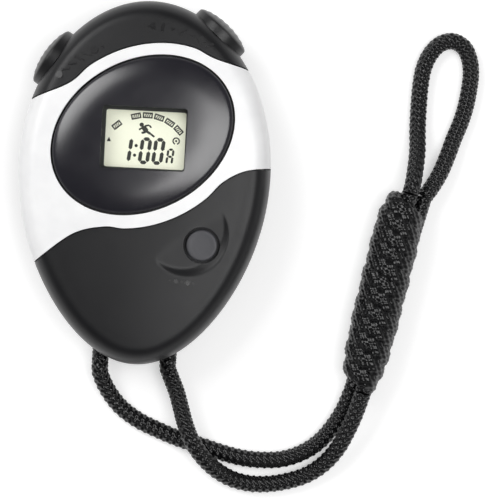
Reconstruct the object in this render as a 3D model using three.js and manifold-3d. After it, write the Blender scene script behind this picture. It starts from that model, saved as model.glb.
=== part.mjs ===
// A pocket digital stopwatch on a braided neck cord, as an assembly of separate pieces.
// Millimetres. The watch lies on its back: +Z is the way the display faces, +Y runs to the
// two thumb buttons, and z = 0 is the flat back. The origin is the middle of the back.
import * as THREE from "three";
import * as BufferGeometryUtils from "three/addons/utils/BufferGeometryUtils.js";
import Module from "manifold-3d";

const wasm = await Module();
wasm.setup();

// ---------------------------------------------------------------- driving sizes
const bodyHalfWidth = 28.2;
const bodyHalfLength = 40.8;
const bodyDepth = 19.95;          // back to the crown of the face
const partingHeight = 10;         // where the two case halves meet
const eggTaper = 0.086;           // how much wider the top half is than the bottom half
const eggPinch = -0.064;          // how much both ends draw in
const eggSides = 48;              // facets round the case
const rimZone = 6;                // edge zone in which case walls keep an exact thickness

const gap = 0.3;                  // clearance between neighbouring pieces
const frontWall = 3;              // front case side wall, trim and its gap included
const rearWall = 2;
const rearFloor = 1.8;
const trimThickness = 1.3;        // white trim that wraps the front case

const bezelX = -0.55;
const bezelY = 10.45;
const bezelLong = 21;             // half lengths of the oval
const bezelShort = 16.25;
const bezelTurn = 31;             // degrees, counter-clockwise
const bezelGap = 0.45;
const trimRing = 2.9;             // width of the trim above and below the oval
const bezelSeat = bodyDepth - 1.75;     // height of the flat that carries the oval
const bezelCrown = bodyDepth + 1.05;

const displayX = -0.2;
const displayY = 9.9;
const displayWidth = 18.3;        // opening in the oval
const displayHeight = 12.7;
const windowLip = 1.9;            // how far the clear window reaches past the opening
const windowThickness = 0.8;
const glassWidth = 24;
const glassHeight = 17.2;
const glassThickness = 1.6;
const frameWall = 1.7;

const boardThickness = 1;
const boardInset = 5.2;
const boardDrop = 5.9;            // flat of the oval down to the top of the board

const capRadius = 6.9;            // the two thumb buttons
const capTravel = 1.6;
const capDome = 3.3;
const stemRadius = 1.3;
const thumbAngles = [138.6, 58];  // places round the egg
const thumbInset = 0.8;

const modeX = 13.8;
const modeY = -13.35;
const modeRadius = 3.45;
const modeTravel = 0.8;
const modeHoleGap = 0.45;
const scoopX = 9.15;
const scoopY = -9.5;
const scoopRadius = 10.6;
const scoopDepth = 1.3;

const cellRadius = 5.8;           // button cell
const cellThickness = 5.4;
const doorLand = 1.9;             // how much larger the door is than the cell
const doorThickness = 1.2;
const doorTurn = 40;              // degrees from locked to free

const screwRadius = 1;
const screwHeadRadius = 1.9;
const caseScrewAngles = [20, 160, 218, 322];
const caseScrewInset = 6.2;
const boardScrewPlaces = [[-18.6, 3.6], [18.6, 6.5], [3.5, -27.5]];

const cordRadius = 1.9;
const bightX = -0.4;
const bightRadius = 7.7;
const bightHeight = 4.6;
const channelRadius = 2.45;

// ---------------------------------------------------------------- finishes
const satinBlack = [0x2c2c2f, 0.5, 0];
const whitePlastic = [0xf2f2f2, 0.35, 0];
const glossBlack = [0x2a2a2e, 0.15, 0.1];
const greyPlastic = [0x59595c, 0.5, 0];
const steel = [0xb9bbbe, 0.3, 0.9];
const brass = [0xc6a55c, 0.35, 0.9];
const clearPlastic = [0xeef2ee, 0.05, 0];
const liquidCrystal = [0xd9dcc8, 0.2, 0];
const boardGreen = [0x1f5a35, 0.5, 0];
const palePlastic = [0xd8d8d2, 0.6, 0];
const rubberGrey = [0x6d6d70, 0.8, 0];
const epoxyBlack = [0x121212, 0.4, 0];
const cordBlack = [0x141416, 0.7, 0];

// ---------------------------------------------------------------- solids
const watch = new THREE.Group();

function solid(geometry) {
  const bare = geometry.index ? geometry.toNonIndexed() : geometry.clone();
  bare.deleteAttribute("normal");
  bare.deleteAttribute("uv");
  const merged = BufferGeometryUtils.mergeVertices(bare, 1e-4);
  const corners = merged.index.array;
  const kept = [];
  for (let i = 0; i < corners.length; i += 3) {
    const [a, b, c] = [corners[i], corners[i + 1], corners[i + 2]];
    if (a !== b && b !== c && c !== a) kept.push(a, b, c);
  }
  const points = merged.attributes.position.array;
  if (signedVolume(points, kept) < 0) kept.reverse();
  return new wasm.Manifold(new wasm.Mesh({
    numProp: 3,
    vertProperties: Float32Array.from(points),
    triVerts: Uint32Array.from(kept),
  }));
}

function signedVolume(points, corners) {
  const [a, b, c] = [new THREE.Vector3(), new THREE.Vector3(), new THREE.Vector3()];
  let sum = 0;
  for (let i = 0; i < corners.length; i += 3) {
    a.fromArray(points, 3 * corners[i]);
    b.fromArray(points, 3 * corners[i + 1]);
    c.fromArray(points, 3 * corners[i + 2]);
    sum += a.dot(b.cross(c));
  }
  return sum;
}

function geometryOf(body) {
  const mesh = body.getMesh();
  const geometry = new THREE.BufferGeometry();
  geometry.setAttribute("position", new THREE.BufferAttribute(mesh.vertProperties, 3));
  geometry.setIndex(new THREE.BufferAttribute(mesh.triVerts, 1));
  geometry.computeVertexNormals();
  return geometry;
}

function addPiece(name, body, [color, roughness, metalness], parent = watch) {
  const material = new THREE.MeshStandardMaterial({ color, roughness, metalness });
  const mesh = new THREE.Mesh(geometryOf(body), material);
  mesh.name = name;
  parent.add(mesh);
  return mesh;
}

const union = (first, ...others) => others.reduce((sum, other) => sum.add(other), first);
const cut = (first, ...others) => others.reduce((rest, other) => rest.subtract(other), first);
const radians = (degrees) => THREE.MathUtils.degToRad(degrees);

// A round bar along Z.
function drum(x, y, radius, bottom, top, sides = 20) {
  const bar = new THREE.CylinderGeometry(radius, radius, top - bottom, sides);
  return solid(bar.rotateX(Math.PI / 2).translate(x, y, (bottom + top) / 2));
}

function pipe(x, y, outer, inner, bottom, top, sides = 20) {
  return cut(drum(x, y, outer, bottom, top, sides), drum(x, y, inner, bottom - 1, top + 1, sides));
}

function block(x, y, width, length, bottom, top) {
  const box = new THREE.BoxGeometry(width, length, top - bottom);
  return solid(box.translate(x, y, (bottom + top) / 2));
}

// A profile of [radius, height] pairs, turned about Z.
function turned(profile, sides = 20) {
  const points = profile.map(([radius, height]) => new THREE.Vector2(radius, height));
  return new THREE.LatheGeometry(points, sides).rotateX(Math.PI / 2);
}

function prism(points, bottom, top) {
  const outline = new THREE.Shape(points.map(([x, y]) => new THREE.Vector2(x, y)));
  const slab = new THREE.ExtrudeGeometry(outline, { depth: top - bottom, bevelEnabled: false });
  return solid(slab.translate(0, 0, bottom));
}

// A round bar of the given radius along a curve.
function tube(curve, radius, steps, sides) {
  const corners = [];
  for (let i = 0; i < sides; i += 1) {
    const angle = (2 * Math.PI * i) / sides;
    corners.push(new THREE.Vector2(radius * Math.cos(angle), radius * Math.sin(angle)));
  }
  const section = new THREE.Shape(corners);
  return solid(new THREE.ExtrudeGeometry(section, { steps, extrudePath: curve }));
}

// ---------------------------------------------------------------- the egg outline
// Place and outward normal at an angle round the egg, moved inwards by an inset.
function eggPlace(angle, inset = 0) {
  const [sin, cos] = [Math.sin(angle), Math.cos(angle)];
  const swell = 1 + eggTaper * sin + eggPinch * sin * sin;
  const slope = eggTaper * cos + 2 * eggPinch * sin * cos;
  const along = new THREE.Vector2(bodyHalfWidth * (cos * slope - sin * swell), bodyHalfLength * cos);
  const normal = new THREE.Vector2(along.y, -along.x).normalize();
  const place = new THREE.Vector2(bodyHalfWidth * cos * swell, bodyHalfLength * sin);
  return { place: place.addScaledVector(normal, -inset), normal };
}

// A solid of [inset, height] rings round the egg. Near the edge an inset is an exact distance;
// further in, the rings shrink evenly to the middle.
function eggSolid(rings) {
  const turnedSolid = turned(rings.map(([inset, height]) => [bodyHalfWidth - inset, height]), eggSides);
  const position = turnedSolid.attributes.position;
  for (let i = 0; i < position.count; i += 1) {
    const [x, y] = [position.getX(i), position.getY(i)];
    const inset = bodyHalfWidth - Math.hypot(x, y);
    const { place } = eggPlace(Math.atan2(y, x), Math.min(inset, rimZone));
    const shrink = Math.min(1, (bodyHalfWidth - inset) / (bodyHalfWidth - rimZone));
    position.setXY(i, place.x * shrink, place.y * shrink);
  }
  return solid(turnedSolid);
}

function eggPrism(inset, bottom, top) {
  return eggSolid([[bodyHalfWidth, bottom], [inset, bottom], [inset, top], [bodyHalfWidth, top]]);
}

// The same profile moved into the material by a depth, to make walls and layers.
function sunk(profile, depth) {
  return profile.map(([inset, height], i) => {
    const [before, after] = [profile[Math.max(i - 1, 0)], profile[Math.min(i + 1, profile.length - 1)]];
    const run = new THREE.Vector2(after[0] - before[0], after[1] - before[1]).normalize();
    if (i === 0) return [inset + depth, height];
    if (i === profile.length - 1) return [inset, height - depth];
    return [inset + depth * run.y, height - depth * run.x];
  });
}

// ---------------------------------------------------------------- the case, from the rim to the crown
const frontFoot = partingHeight + gap / 2;
const rearTop = partingHeight - gap / 2;
const faceProfile = [
  [0, frontFoot], [0.15, partingHeight + 3.5], [0.7, bodyDepth - 4.1], [1.6, bodyDepth - 2.55],
  [3, bodyDepth - 1.45], [rimZone, bodyDepth - 1], [16, bodyDepth - 0.25], [bodyHalfWidth, bodyDepth],
];
const closeBelow = (profile) => [[bodyHalfWidth, profile[0][1]], ...profile];
const faceSolid = eggSolid(closeBelow(faceProfile));
const recessSolid = eggSolid(closeBelow(sunk(faceProfile, trimThickness + gap)));
const trimInnerSolid = eggSolid(closeBelow(sunk(faceProfile, trimThickness)));
const ceiling = bezelSeat - 1.4;
const frontHollow = eggSolid([
  [bodyHalfWidth, frontFoot - 1], [frontWall, frontFoot - 1], [frontWall + 0.2, ceiling - 2.4],
  [frontWall + 1.4, ceiling - 1.1], [14, ceiling - 0.2], [bodyHalfWidth, ceiling],
]);
const rearSolid = eggSolid([
  [bodyHalfWidth, 0], [4, 0], [1.8, 0.7], [0.6, 2.2], [0, 5], [0, rearTop], [bodyHalfWidth, rearTop],
]);
const rearHollow = eggSolid([
  [bodyHalfWidth, rearFloor], [4.5, rearFloor], [rearWall, rearFloor + 2.5], [rearWall, rearTop + 1],
  [bodyHalfWidth, rearTop + 1],
]);
const wholeBody = union(rearSolid, eggPrism(0.05, rearTop - 1, frontFoot + 1), faceSolid);

// ---------------------------------------------------------------- seams between black and white
// A point at an angle round the oval, a margin outside it.
function ovalPoint(degrees, margin) {
  const [u, v] = [
    (bezelLong + margin) * Math.cos(radians(degrees)), (bezelShort + margin) * Math.sin(radians(degrees))];
  const [sin, cos] = [Math.sin(radians(bezelTurn)), Math.cos(radians(bezelTurn))];
  return [bezelX + u * cos - v * sin, bezelY + u * sin + v * cos];
}

function oval(margin, sides = 36) {
  return Array.from({ length: sides }, (_, i) => ovalPoint((360 * i) / sides, margin));
}

// Each seam follows the oval for a stretch, flares out to the sides and runs on past the case.
function seam(flareIn, fromDegrees, toDegrees, margin, flareOut) {
  const arc = Array.from({ length: 7 }, (_, i) => {
    return ovalPoint(fromDegrees + ((toDegrees - fromDegrees) * i) / 6, margin);
  });
  const points = [...flareIn, ...arc, ...flareOut].map(([x, y]) => new THREE.Vector2(x, y));
  const line = new THREE.SplineCurve(points).getPoints(32);
  const past = bodyHalfWidth;
  const [first, last] = [line[0], line[line.length - 1]];
  return [first.clone().setX(first.x - past), ...line, last.clone().setX(last.x + past)];
}

// A line moved sideways, to its left, by a distance.
function movedLeft(line, distance) {
  return line.map((point, i) => {
    const [before, after] = [line[Math.max(i - 1, 0)], line[Math.min(i + 1, line.length - 1)]];
    const along = new THREE.Vector2().subVectors(after, before).normalize();
    return [point.x - distance * along.y, point.y + distance * along.x];
  });
}

const upperSeam = seam(
  [[-33, 13.5], [-26, 17.3]], 112, 22, trimRing + bezelGap - 0.25, [[22.7, 26.2], [29, 25]]);
const lowerSeam = seam(
  [[-31, -24.5], [-23.4, -19], [-15, -12.4]], 225, 296, trimRing + bezelGap + 0.15,
  [[22.4, 3.4], [28.2, 4.4], [34, 5]]);

// The stretch of the case between the seams, made narrower or wider by a shift.
function trimZone(shift) {
  const outline = [...movedLeft(upperSeam, shift), ...movedLeft(lowerSeam, -shift).reverse()];
  return prism(outline, -1, bezelCrown + 5);
}

// ---------------------------------------------------------------- thumb button places
const thumbFloor = -2.4;          // depth of the well, along the button's own axis
const thumbWall = 1.6;
const wellRadius = capRadius + 0.35;
const guideRadius = stemRadius + gap;

const thumbPlaces = thumbAngles.map((degrees) => {
  const { place, normal } = eggPlace(radians(degrees), thumbInset);
  const out = new THREE.Vector3(normal.x, normal.y, 0);
  const up = new THREE.Vector3(0, 0, 1);
  const across = new THREE.Vector3().crossVectors(up, out);
  const matrix = new THREE.Matrix4().makeBasis(across, up, out);
  return matrix.setPosition(place.x, place.y, partingHeight);
});

// A drum along a thumb button's axis, between two depths.
function thumbDrum(matrix, radius, low, high, sides = 24) {
  const bar = new THREE.CylinderGeometry(radius, radius, high - low, sides);
  bar.rotateX(Math.PI / 2).translate(0, 0, (low + high) / 2);
  return solid(bar.applyMatrix4(matrix));
}

const thumbSeats = thumbPlaces.map((m) => thumbDrum(m, wellRadius + 1.4, thumbFloor - thumbWall, 3));
const thumbWells = thumbPlaces.map((m) => thumbDrum(m, wellRadius, thumbFloor, 12));
const thumbGuides = thumbPlaces.map((m) => thumbDrum(m, guideRadius, -12, 0, 12));

// ---------------------------------------------------------------- shared heights and places
const boardTop = bezelSeat - boardDrop;
const boardBottom = boardTop - boardThickness;
const under = boardBottom - 0.2;  // what hangs below the board starts here
const caseScrewPlaces = caseScrewAngles.map((degrees) => {
  const { place } = eggPlace(radians(degrees), caseScrewInset);
  return [place.x, place.y];
});
const bossRadius = screwRadius + 1.6;
const boreRadius = screwRadius + gap;
const headSeat = 2.1;             // depth of the screw heads in the back
const caseScrewEnd = partingHeight + 4;
const boardScrewEnd = boardTop + 2.8;

// ---------------------------------------------------------------- rear case
const lanyardTop = -bodyHalfLength + 11.4;    // highest point of the cord's bend, along Y
const channelCentreY = lanyardTop - bightRadius;
const mouthY = -bodyHalfLength + 1.6;
const tipBlockTop = lanyardTop + channelRadius + 1.4;

// The cell stands just clear of the cord's block and of the lower left screw boss.
const doorRadius = cellRadius + doorLand;
const doorHole = doorRadius + gap;
const lugReach = doorRadius + 1.6;
const lugBottom = rearFloor + gap;
const lugTop = lugBottom + 1;
const lugHalfAngle = 12;
const lugAngles = [120, 300];     // when locked
const holderInner = cellRadius + 0.8;
const holderOuter = holderInner + 1.1;
const cellY = tipBlockTop + gap + lugReach;
const [lowerBossX, lowerBossY] = caseScrewPlaces[2];
const bossToCell = bossRadius + 0.4 + holderOuter + gap;
const cellX = lowerBossX + Math.sqrt(bossToCell ** 2 - (cellY - lowerBossY) ** 2);

// A sector of a disc about the cell's centre, between two angles.
function sector(radius, fromDegrees, toDegrees, bottom, top) {
  const points = [[cellX, cellY]];
  for (let i = 0; i <= 6; i += 1) {
    const angle = radians(fromDegrees + ((toDegrees - fromDegrees) * i) / 6);
    points.push([cellX + radius * Math.cos(angle), cellY + radius * Math.sin(angle)]);
  }
  return prism(points, bottom, top);
}

class Bight extends THREE.Curve {
  constructor(tail) {
    super();
    this.tail = tail;
  }

  // Up one leg, round the half turn and down the other leg.
  getPoint(t, target = new THREE.Vector3()) {
    const turn = Math.PI * bightRadius;
    const travelled = t * (turn + 2 * this.tail);
    if (travelled < this.tail) {
      return target.set(bightX - bightRadius, channelCentreY - this.tail + travelled, bightHeight);
    }
    if (travelled > this.tail + turn) {
      return target.set(bightX + bightRadius, channelCentreY - (travelled - this.tail - turn), bightHeight);
    }
    const angle = Math.PI - (travelled - this.tail) / bightRadius;
    return target.set(
      bightX + bightRadius * Math.cos(angle), channelCentreY + bightRadius * Math.sin(angle), bightHeight);
  }
}

const channel = tube(new Bight(12), channelRadius, 16, 10);
const tipBlock = block(0, -bodyHalfLength, 60, 2 * (bodyHalfLength + tipBlockTop), 0, rearTop);
const buzzerX = 3;
const buzzerY = 14;
const soundHoles = [0, 1, 2, 3, 4].map((i) => {
  const angle = (2 * Math.PI * i) / 5;
  const spread = 2.4;
  const [x, y] = [buzzerX + spread * Math.cos(angle), buzzerY + spread * Math.sin(angle)];
  return drum(x, y, 0.6, -1, rearFloor + 1, 8);
});
const entryNotches = lugAngles.map((degrees) => {
  const middle = degrees - doorTurn;
  return sector(lugReach + gap, middle - lugHalfAngle - 3, middle + lugHalfAngle + 3, -1, rearFloor + 0.1);
});
const doorStops = cut(union(...lugAngles.map((degrees) => {
  const edge = degrees + lugHalfAngle + 3;
  return sector(lugReach + gap, edge, edge + 7, rearFloor - 0.1, lugTop);
})), drum(cellX, cellY, doorHole, -1, lugTop + 1, 36));
const rearScrewBosses = caseScrewPlaces.map(([x, y]) => drum(x, y, bossRadius + 0.4, 0, rearTop, 16));
const rearScrewBores = caseScrewPlaces.flatMap(([x, y]) => [
  drum(x, y, screwHeadRadius + gap, -1, headSeat, 16), drum(x, y, boreRadius, 0, rearTop + 1, 10)]);

const rearBody = union(
  cut(rearSolid, rearHollow), doorStops, ...rearScrewBosses, tipBlock.intersect(rearSolid),
  ...thumbSeats.map((seat) => seat.intersect(rearSolid)));
addPiece("rear_case", cut(
  rearBody, channel, drum(cellX, cellY, doorHole, -1, rearFloor + 0.1, 36), ...entryNotches,
  ...soundHoles, ...rearScrewBores, ...thumbWells, ...thumbGuides), satinBlack);

// ---------------------------------------------------------------- front case
const frontLimits = cut(wholeBody, eggPrism(-5, -5, frontFoot));
const frontBosses = [
  ...caseScrewPlaces.map(([x, y]) => drum(x, y, bossRadius, frontFoot, ceiling + 0.5, 16)),
  ...boardScrewPlaces.map(([x, y]) => drum(x, y, bossRadius - 0.2, boardTop + 0.2, ceiling + 0.5, 14)),
].map((boss) => boss.intersect(recessSolid));
const frontBores = [
  ...caseScrewPlaces.map(([x, y]) => drum(x, y, boreRadius, frontFoot - 1, caseScrewEnd + 0.6, 10)),
  ...boardScrewPlaces.map(([x, y]) => drum(x, y, boreRadius, boardTop - 1, boardScrewEnd + 0.6, 10)),
];
const modeFlange = modeRadius + 0.95;
const modeRing = ceiling - 0.9;   // underside of the ring that guides the mode button
const modeGuide = drum(modeX, modeY, modeFlange + 0.8, modeRing, ceiling + 0.6);
const modeHole = drum(modeX, modeY, modeRadius + modeHoleGap, modeRing - 1, bezelCrown);

// The thumb scoop round the mode button is a shallow cone, tipped so it runs out on the face.
const scoopFloor = bodyDepth - 0.45 - scoopDepth / 2;
const scoopGeometry = turned([
  [0, 0], [scoopRadius - 1.2, 0], [scoopRadius, 1.2], [scoopRadius + 3, 4.2], [0, 4.2]], 24);
scoopGeometry.rotateX(radians(3.2)).rotateY(radians(3.4)).translate(scoopX, scoopY, scoopFloor);
const scoop = solid(scoopGeometry);

const trimCavity = cut(trimZone(gap / 2), recessSolid);
const frontShell = cut(faceSolid, trimCavity, frontHollow);
const bezelPocket = prism(oval(bezelGap), bezelSeat, bezelCrown + 1);
const displayHole = block(displayX, displayY, displayWidth + 1, displayHeight + 1, ceiling - 3, bezelCrown);
const windowRebate = block(
  displayX, displayY, displayWidth + 2 * windowLip + 0.6, displayHeight + 2 * windowLip + 0.6,
  bezelSeat - windowThickness, bezelCrown);
const frontBody = union(
  frontShell, ...frontBosses, modeGuide, ...thumbSeats.map((seat) => seat.intersect(frontLimits)));
addPiece("front_case", cut(
  frontBody, bezelPocket, displayHole, windowRebate, modeHole, scoop,
  ...frontBores, ...thumbWells, ...thumbGuides), satinBlack);

// ---------------------------------------------------------------- white trim, oval and window
const trimLayer = cut(faceSolid, trimInnerSolid).intersect(trimZone(-gap / 2));
const thumbKeepOuts = thumbPlaces.map((m) => thumbDrum(m, wellRadius + 1.4 + gap, -20, 20));
addPiece("front_trim", cut(
  trimLayer, prism(oval(bezelGap), 0, bezelCrown + 5), ...thumbKeepOuts), whitePlastic);

// The oval is turned as a round dome and stretched to its length.
const bezelRim = bodyDepth - 0.3;
const bezelGeometry = turned([
  [0, bezelSeat + gap], [bezelShort, bezelSeat + gap], [bezelShort, bezelRim - 0.5],
  [bezelShort - 0.3, bezelRim], [bezelShort - 1, bezelRim + 0.3], [bezelShort - 4, bezelCrown - 0.45],
  [bezelShort - 9, bezelCrown - 0.1], [0, bezelCrown]], 36);
bezelGeometry.scale(bezelLong / bezelShort, 1, 1).rotateZ(radians(bezelTurn)).translate(bezelX, bezelY, 0);
const bezelOpening = block(displayX, displayY, displayWidth, displayHeight, bezelSeat, bezelCrown + 1);
addPiece("bezel", cut(solid(bezelGeometry), bezelOpening), glossBlack);

const windowTop = bezelSeat + 0.1;
addPiece("display_window", block(
  displayX, displayY, displayWidth + 2 * windowLip, displayHeight + 2 * windowLip,
  windowTop - windowThickness + 0.1, windowTop), clearPlastic);

// ---------------------------------------------------------------- display module
const glassTop = ceiling - 0.7;
const glassStep = glassTop - glassThickness / 2;
const glassBottom = glassTop - glassThickness;
const ledge = 1.4;                // contact ledges of the lower glass
addPiece("lcd_glass", union(
  block(displayX, displayY, glassWidth, glassHeight, glassBottom, glassStep + 0.05),
  block(displayX, displayY, glassWidth, glassHeight - 2 * ledge, glassStep, glassTop)), liquidCrystal);
addPiece("lcd_reflector", block(
  displayX, displayY, glassWidth - 3, glassHeight - 5.4, glassBottom - 0.4, glassBottom - 0.15), steel);
const frameBottom = boardTop + 0.15;
addPiece("lcd_frame", cut(
  block(displayX, displayY, glassWidth + 0.6 + 2 * frameWall, glassHeight + 0.6 + 2 * frameWall,
    frameBottom, glassStep + gap),
  block(displayX, displayY, glassWidth + 0.6, glassHeight + 0.6, boardTop - 1, bezelSeat)), palePlastic);
for (const [name, side] of [["upper", 1], ["lower", -1]]) {
  const stripY = displayY + side * (glassHeight / 2 - 1);
  addPiece(`zebra_strip_${name}`, block(
    displayX, stripY, glassWidth - 2, 1.5, boardTop + 0.1, glassBottom - 0.15), rubberGrey);
}

// ---------------------------------------------------------------- circuit board and what it carries
const contactDepth = -9.3;        // leaf contacts, along the thumb buttons' axes
const boardNotches = thumbPlaces.map((matrix) => {
  const box = new THREE.BoxGeometry(9.2, 8, 40);
  box.translate(0, boardBottom - partingHeight, contactDepth - 0.6 + 20);
  return solid(box.applyMatrix4(matrix));
});
addPiece("circuit_board", cut(
  eggPrism(boardInset, boardBottom, boardTop), ...boardNotches,
  ...caseScrewPlaces.map(([x, y]) => drum(x, y, bossRadius + 0.4, 0, bezelSeat, 16)),
  ...boardScrewPlaces.map(([x, y]) => drum(x, y, boreRadius, 0, bezelSeat, 10))), boardGreen);

const blobProfile = [[0, under], [4.6, under], [4.2, under - 0.6], [2.6, under - 1.2], [0, under - 1.4]];
addPiece("controller_chip", solid(turned(blobProfile, 20).translate(3, 0, 0)), epoxyBlack);
const crystal = new THREE.CylinderGeometry(1, 1, 6.2, 16).translate(13, -3, under - 1.05);
addPiece("crystal_can", solid(crystal), steel);
addPiece("capacitor_1", block(-12, 4, 2, 1.3, under - 1.1, under), palePlastic);
addPiece("capacitor_2", block(-12, 7, 2, 1.3, under - 1.1, under), palePlastic);
addPiece("resistor", block(8.5, -6.5, 2, 1.3, under - 0.6, under), epoxyBlack);

// ---------------------------------------------------------------- springs
class Coil extends THREE.Curve {
  constructor(x, y, radii, heights, turns) {
    super();
    Object.assign(this, { x, y, radii, heights, turns });
  }

  getPoint(t, target = new THREE.Vector3()) {
    const angle = 2 * Math.PI * this.turns * t;
    const radius = THREE.MathUtils.lerp(...this.radii, t);
    return target.set(
      this.x + radius * Math.cos(angle), this.y + radius * Math.sin(angle),
      THREE.MathUtils.lerp(...this.heights, t));
  }
}

function spring(x, y, radii, heights, turns, wire) {
  const ends = [heights[0] + wire, heights[1] - wire];
  return tube(new Coil(x, y, radii, ends, turns), wire, Math.round(turns * 9), 5);
}

// ---------------------------------------------------------------- buzzer
const discBottom = rearFloor + 0.2;
addPiece("buzzer_disc", solid(turned([
  [0, discBottom], [9, discBottom], [9, discBottom + 0.3], [6.2, discBottom + 0.3],
  [6.2, discBottom + 0.5], [0, discBottom + 0.5]], 24).translate(buzzerX, buzzerY, 0)), brass);
for (const [name, offset, rest] of [["inner", 3.5, 0.5], ["outer", -7.6, 0.3]]) {
  addPiece(`buzzer_spring_${name}`, spring(
    buzzerX + offset, buzzerY, [0.9, 0.9], [discBottom + rest + 0.15, under], 5, 0.2), brass);
}

// ---------------------------------------------------------------- cell, its holder and contacts
const cellBottom = lugTop + 0.3;
const cellTop = cellBottom + cellThickness;
const clipMiddle = 160;           // where the side contact stands, degrees
addPiece("button_cell", solid(turned([
  [0, cellBottom], [cellRadius - 0.9, cellBottom], [cellRadius - 0.7, cellBottom + 0.5],
  [cellRadius - 0.2, cellBottom + 0.6], [cellRadius, cellBottom + 0.9], [cellRadius, cellTop - 0.3],
  [cellRadius - 0.3, cellTop], [0, cellTop]], 24).translate(cellX, cellY, 0)), steel);
addPiece("cell_holder", cut(
  pipe(cellX, cellY, holderOuter, holderInner, cellBottom, under, 28),
  sector(holderInner + 3, clipMiddle - 9, clipMiddle + 9, cellBottom + 1.5, bezelSeat)), palePlastic);
addPiece("cell_side_contact", cut(
  sector(holderInner - 0.2, clipMiddle - 28, clipMiddle + 28, cellBottom + 1, under),
  drum(cellX, cellY, cellRadius + 0.3, 0, bezelSeat, 28)), brass);
addPiece("cell_end_contact", spring(
  cellX, cellY, [4, 1.6], [cellTop + 0.15, under], 3, 0.25), brass);

// ---------------------------------------------------------------- battery door, locked a part turn in
const doorBottom = 0.3;
const doorTop = doorBottom + doorThickness;
const coinSlot = block(cellX, cellY, 1.8, 11, -1, doorBottom + 0.7);
const lugs = lugAngles.map((middle) => {
  return sector(lugReach, middle - lugHalfAngle, middle + lugHalfAngle, lugBottom, lugTop);
});
addPiece("battery_door", cut(union(
  drum(cellX, cellY, doorRadius, doorBottom, lugTop, 32), ...lugs), coinSlot,
drum(cellX, cellY, cellRadius - 0.3, doorTop + 0.3, lugTop + 1, 24)), satinBlack);

// ---------------------------------------------------------------- screws
// Screws go in from below: head, shank, and a cross recess in the head.
function screw(x, y, headBottom, headHeight, tip) {
  const head = drum(x, y, screwHeadRadius, headBottom, headBottom + headHeight, 14);
  const shank = drum(x, y, screwRadius, headBottom + headHeight - 0.1, tip, 8);
  const depth = headBottom + 0.6;
  return cut(union(head, shank), block(x, y, 0.6, 2.2, 0, depth), block(x, y, 2.2, 0.6, 0, depth));
}

caseScrewPlaces.forEach(([x, y], i) => {
  addPiece(`case_screw_${i + 1}`, screw(x, y, headSeat - 1.4, 1.2, caseScrewEnd), steel);
});
boardScrewPlaces.forEach(([x, y], i) => {
  addPiece(`board_screw_${i + 1}`, screw(x, y, under - 1, 1, boardScrewEnd), steel);
});

// ---------------------------------------------------------------- thumb buttons
// Along each button's axis: dome outwards, stem inwards, a clip in the stem's groove behind the wall.
const stemTip = contactDepth + capTravel + 0.3;
const clipOuter = 2.3;
const clipThickness = 0.5;
const clipFace = thumbFloor - thumbWall - gap;
const grooveSlack = 0.15;
const skirtFoot = thumbFloor + capTravel + gap;
const capCeiling = 1.4;
const skirtWall = 1.2;
const capProfile = [
  [0, stemTip], [stemRadius - 0.3, stemTip], [stemRadius, stemTip + 0.3],
  [stemRadius, clipFace - clipThickness - grooveSlack],
  [stemRadius - 0.4, clipFace - clipThickness - grooveSlack], [stemRadius - 0.4, clipFace + grooveSlack],
  [stemRadius, clipFace + grooveSlack], [stemRadius, capCeiling],
  [capRadius - skirtWall, capCeiling], [capRadius - skirtWall, skirtFoot], [capRadius, skirtFoot],
  [capRadius, 1.3], [capRadius - 0.4, 1.9], [capRadius - 2.4, 2.7], [capRadius - 4.6, capDome - 0.15],
  [0, capDome]];

// A ring with a mouth a third of its way round.
function clipSolid(outer, inner, bottom, top) {
  const arc = (radius) => Array.from({ length: 9 }, (_, i) => {
    const angle = radians(-120 + (240 * i) / 8);
    return [radius * Math.cos(angle), radius * Math.sin(angle)];
  });
  return prism([...arc(outer), ...arc(inner).reverse()], bottom, top);
}

["lap_reset", "start_stop"].forEach((name, i) => {
  const button = new THREE.Group();
  button.applyMatrix4(thumbPlaces[i]);
  watch.add(button);
  addPiece(`${name}_button`, solid(turned(capProfile, 24)), satinBlack, button);
  addPiece(`${name}_spring`, spring(
    0, 0, [3.2, 3.2], [thumbFloor + 0.15, capCeiling - 0.15], 3, 0.25), steel, button);
  addPiece(`${name}_clip`, clipSolid(
    clipOuter, stemRadius - 0.2, clipFace - clipThickness, clipFace), steel, button);
  const leafTop = under - partingHeight;
  const leaf = new THREE.BoxGeometry(2.6, leafTop + 1.6, 0.3);
  leaf.translate(0, (leafTop - 1.6) / 2, contactDepth - 0.15);
  const foot = new THREE.BoxGeometry(2.6, 0.25, 3).translate(0, leafTop - 0.125, contactDepth - 1.5);
  addPiece(`${name}_contact`, union(solid(leaf), solid(foot)), brass, button);
});

// ---------------------------------------------------------------- mode button
const flangeTop = modeRing - gap;
const padFoot = boardTop + 0.5;
const padSquashed = 1.2;          // what the pad needs under the flange when the button is down
const flangeBottom = padFoot + padSquashed + modeTravel;
const modeTop = bodyDepth - 0.75;
addPiece("mode_button", solid(turned([
  [0, flangeBottom], [modeFlange, flangeBottom], [modeFlange, flangeTop], [modeRadius, flangeTop],
  [modeRadius, modeTop - 0.5], [modeRadius - 0.5, modeTop - 0.1], [modeRadius - 1.6, modeTop],
  [0, modeTop + 0.05]], 24).translate(modeX, modeY, 0)), greyPlastic);
addPiece("mode_pad", solid(turned([
  [0, boardTop + 0.1], [3.4, boardTop + 0.1], [3.4, padFoot], [2, flangeBottom - 0.15],
  [0, flangeBottom - 0.15]], 20).translate(modeX, modeY, 0)), rubberGrey);

// ---------------------------------------------------------------- neck cord
// The cord lies on the table but for its way out of the case and where it crosses itself.
const cordRest = cordRadius + 0.05;
const legEnd = channelCentreY - mouthY;
addPiece("cord_bight", tube(new Bight(legEnd), cordRadius, 16, 8), cordBlack);

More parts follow.
